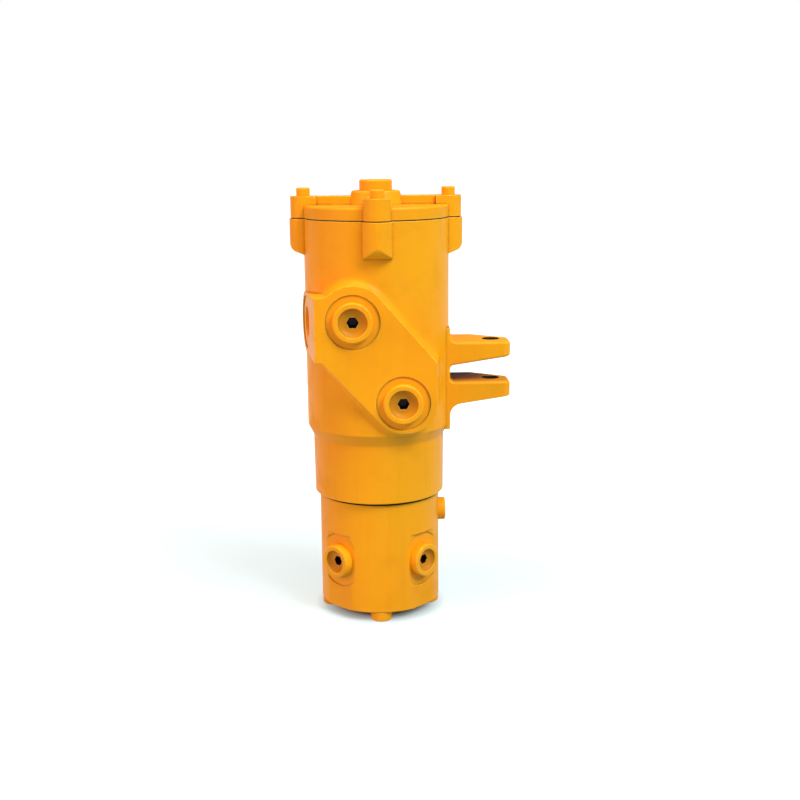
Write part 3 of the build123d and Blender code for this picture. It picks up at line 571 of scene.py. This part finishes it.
class UNION_OT_inner_parts(Operator):
    """Give the gasket, seals, rings and plates their own finishes"""

    bl_idname = "union.inner_parts"
    bl_label = "Gasket and inner parts"

    def execute(self, context):
        inside = context.scene.union_settings.inside
        finishes = {
            "cover_gasket": moulded("Gasket sheet", inside.gasket, 0.75, 500.0),
            "rotary_seal": moulded("Seal plastic", inside.lip, 0.4),
            "guide": moulded("Guide resin", inside.guide, 0.5, 1500.0),
            "thrust": turned_metal("Bronze", inside.bronze),
            "retaining": turned_metal("Turned steel", inside.steel),
            "energiser": moulded("Energiser rubber", inside.rubber, 0.55),
            "seal": moulded("Seal rubber", inside.rubber, 0.5),
        }
        for node in frame["nodes"]:
            for word, material in finishes.items():
                if word in node:
                    dress(node, material)
                    break
        return {"FINISHED"}


# ---------------------------------------------------------------- stage
AIM = (0.0, 0.0, 0.2)       # what the lamps point at
# Place, side and tint of each lamp
LAMPS = {
    "Key": ((2.1, -2.1, 3.1), 1.6, (1.0, 0.985, 0.95)),
    "Fill": ((-2.6, -1.2, 1.1), 1.6, (1.0, 0.5, 0.3)),
    "Top": ((-0.1, -0.5, 3.1), 1.4, (1.0, 0.97, 0.8))}
SENSOR_WIDTH = 36.0         # millimetres
FLOOR_GRAIN = 0.985         # the floor's darker grain as a share of its colour
FLOOR_WHITE = (0.97, 1.0, 1.0, 1.0)
FLOOR_FADE = (-0.9, 0.75)   # distances from the foot between which the floor's white goes from none to full
FOOT_SHADE = (0.04, 0.068)  # the same under the foot, where no white is added: a painted contact shadow


def soft_lamp(name, energy):
    """Square area lamp at its place, turned to what it lights."""
    place, size, tint = LAMPS[name]
    data = bpy.data.lights.new(name, "AREA")
    data.shape = "SQUARE"
    data.size = size
    data.energy = energy
    data.color = tint
    lamp = bpy.data.objects.new(name, data)
    lamp.location = place
    lamp.rotation_euler = (Vector(AIM) - Vector(place)).to_track_quat("-Z", "Y").to_euler()
    bpy.context.scene.collection.objects.link(lamp)


def white_room(stage):
    """World that lights softly and looks plain white behind the object."""
    world = bpy.data.worlds.new("White room")
    bpy.context.scene.world = world
    world.use_nodes = True
    world.node_tree.nodes.clear()
    graph = Graph(world.node_tree)
    rays = graph.node("ShaderNodeLightPath").outputs
    seen = graph.math("MAXIMUM", rays["Is Camera Ray"], rays["Is Transmission Ray"])
    level = graph.math("ADD", graph.math("MULTIPLY", seen, 1.0 - stage.room), stage.room)
    background = graph.node("ShaderNodeBackground", Color=(1.0, 1.0, 1.0, 1.0), Strength=level)
    graph.node("ShaderNodeOutputWorld", Surface=background.outputs[0])


def floor_finish(stage):
    """Pale sheet that adds white towards the camera, most of it far off, and none under the foot, which
    paints a contact shadow there.
    """
    material, graph, shader, place = finish("Pale floor", Roughness=0.9)
    grain = graph.noise(place, "Paper grain", 300.0)
    tint = tuple(stage.floor)
    darker = tuple(channel * FLOOR_GRAIN for channel in tint)
    graph.feed(shader["Base Color"], graph.mix(grain, tint, darker))
    shader["Emission Color"].default_value = FLOOR_WHITE
    rays = graph.node("ShaderNodeLightPath").outputs
    seen = graph.math("MAXIMUM", rays["Is Camera Ray"], rays["Is Glossy Ray"])
    measure = graph.node("ShaderNodeVectorMath", "Away", operation="LENGTH")
    graph.feed(measure.inputs[0], place)
    away = measure.outputs["Value"]
    white = graph.math("MAXIMUM", graph.ramp(away, *FLOOR_FADE), stage.glow)
    # Painted contact shadow: no white under the foot
    white = graph.math("MULTIPLY", white, graph.ramp(away, *FOOT_SHADE))
    graph.feed(shader["Emission Strength"], graph.math("MULTIPLY", seen, white))
    return material


def lay_floor(stage):
    """Large flat sheet under the foot."""
    sheet = bpy.data.meshes.new("floor")
    sides = ((-1, -1), (1, -1), (1, 1), (-1, 1))
    corners = [(x * FLOOR_HALF, y * FLOOR_HALF, FLOOR_HEIGHT) for x, y in sides]
    sheet.from_pydata(corners, [], [(0, 1, 2, 3)])
    floor = bpy.data.objects.new("floor", sheet)
    bpy.context.scene.collection.objects.link(floor)
    floor.data.materials.append(floor_finish(stage))


def place_camera(stage):
    """Camera in front of the union, looking a little down."""
    data = bpy.data.cameras.new("Camera")
    data.lens = stage.lens
    data.sensor_width = SENSOR_WIDTH
    camera = bpy.data.objects.new("Camera", data)
    ahead = Vector((math.sin(stage.yaw), math.cos(stage.yaw), 0.0))
    right = Vector((math.cos(stage.yaw), -math.sin(stage.yaw), 0.0))
    place = right * stage.sideways - ahead * stage.distance + Vector((0.0, 0.0, stage.height))
    look = ahead * math.cos(stage.pitch) - Vector((0.0, 0.0, math.sin(stage.pitch)))
    turn = look.to_track_quat("-Z", "Y").to_matrix().to_4x4()
    camera.matrix_world = Matrix.Translation(place) @ turn @ Matrix.Rotation(stage.roll, 4, "Z")
    bpy.context.scene.collection.objects.link(camera)
    bpy.context.scene.camera = camera


class UNION_OT_stage(Operator):
    """Make the floor, the light and the camera"""

    bl_idname = "union.stage"
    bl_label = "Stage"

    def execute(self, context):
        stage = context.scene.union_settings.stage
        context.scene.view_settings.view_transform = "Standard"
        white_room(stage)
        lay_floor(stage)
        for name, energy in (("Key", stage.key), ("Fill", stage.fill), ("Top", stage.top)):
            soft_lamp(name, energy)
        place_camera(stage)
        return {"FINISHED"}


STEPS = (UNION_OT_stage, UNION_OT_effects, UNION_OT_castings, UNION_OT_drum, UNION_OT_plugs,
         UNION_OT_screws, UNION_OT_inner_parts)


class UNION_PT_panel(Panel):
    """Sidebar panel with the settings and the steps"""

    bl_idname = "UNION_PT_panel"
    bl_label = "Rotary union"
    bl_space_type = "VIEW_3D"
    bl_region_type = "UI"
    bl_category = "Rotary union"

    def draw(self, context):
        settings = context.scene.union_settings
        for group in (settings.paint, settings.inside, settings.stage):
            for name in group.__annotations__:
                self.layout.prop(group, name)
        for step in STEPS:
            self.layout.operator(step.bl_idname)


CLASSES = (PaintSettings, InsideSettings, StageSettings, UnionSettings, *STEPS, UNION_PT_panel)


def register():
    """Register the classes and hang the settings on the scene."""
    for item in CLASSES:
        bpy.utils.register_class(item)
    bpy.types.Scene.union_settings = PointerProperty(type=UnionSettings)


def unregister():
    """Take the settings and the classes away again."""
    del bpy.types.Scene.union_settings
    for item in reversed(CLASSES):
        bpy.utils.unregister_class(item)


def main():
    """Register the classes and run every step."""
    register()
    for step in STEPS:
        action = step.bl_idname.split(".")[1]
        getattr(bpy.ops.union, action)()


if __name__ == "__main__":
    main()
